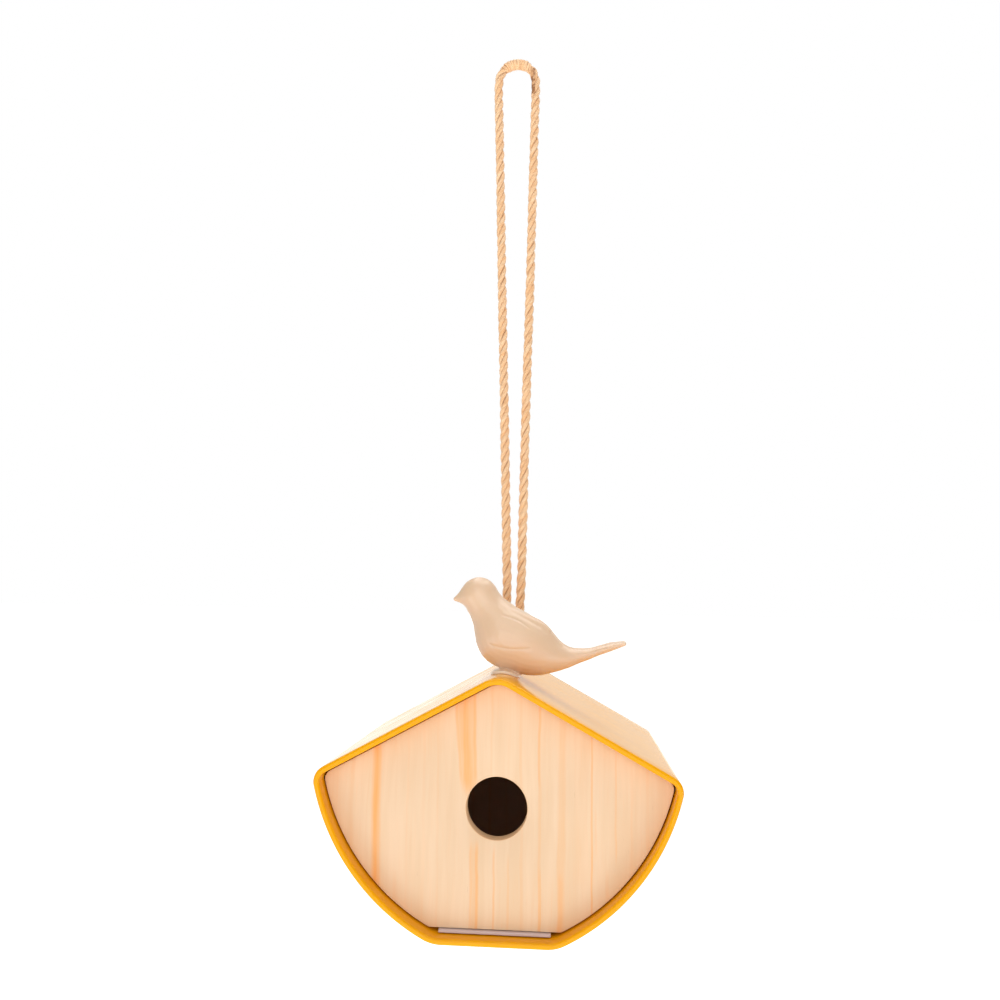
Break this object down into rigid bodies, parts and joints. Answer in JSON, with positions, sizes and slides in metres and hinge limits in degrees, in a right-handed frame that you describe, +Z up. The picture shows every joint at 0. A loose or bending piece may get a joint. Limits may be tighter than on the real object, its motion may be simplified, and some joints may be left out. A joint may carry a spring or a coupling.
{
  "type": "birdhouse",
  "caption": "Hanging birdhouse: a bent band shell, a pivoting pine front with a round entrance, a slide-out floor tray, a bird figure on the ridge and a twisted rope loop.",
  "frame": {"origin": "inside of the rope loop's crown, where the hook touches it; the house hangs below", "axes": "+X to the right seen from the front, +Y into the house, +Z up; the entrance faces -Y"},
  "size_m": [0.1912, 0.168, 0.5268],
  "materials": {
    "shell_yellow": "high gloss warm yellow",
    "pine": "planed bare pine, grain upright",
    "bird_beige": "satin beige",
    "jute": "three-strand twisted jute",
    "tray_grey": "matt light grey",
    "steel": "zinc plated"
  },
  "bodies": {
    "house": {"shell": "shell_yellow", "door_stops": "pine", "back_panel": "pine", "back_panel_screws": "steel", "bird": "bird_beige", "bird_washer": "steel", "bird_screw": "steel", "rope": "jute", "rope_washer": "steel", "rope_knot": "jute"},
    "door": {"front_door": "pine", "pivot_screws": "steel"},
    "tray": {"floor_tray": "tray_grey"}
  },
  "joints": [
    {"name": "door_hinge", "type": "hinge", "parent": "house", "child": "door", "pos_m": [0, -0.072, -0.44199], "axis": [-1, 0, 0], "range_deg": [0, 80]},
    {"name": "tray_slide", "type": "slide", "parent": "house", "child": "tray", "axis": [0, -1, 0], "range_m": [0, 0.12]}
  ]
}
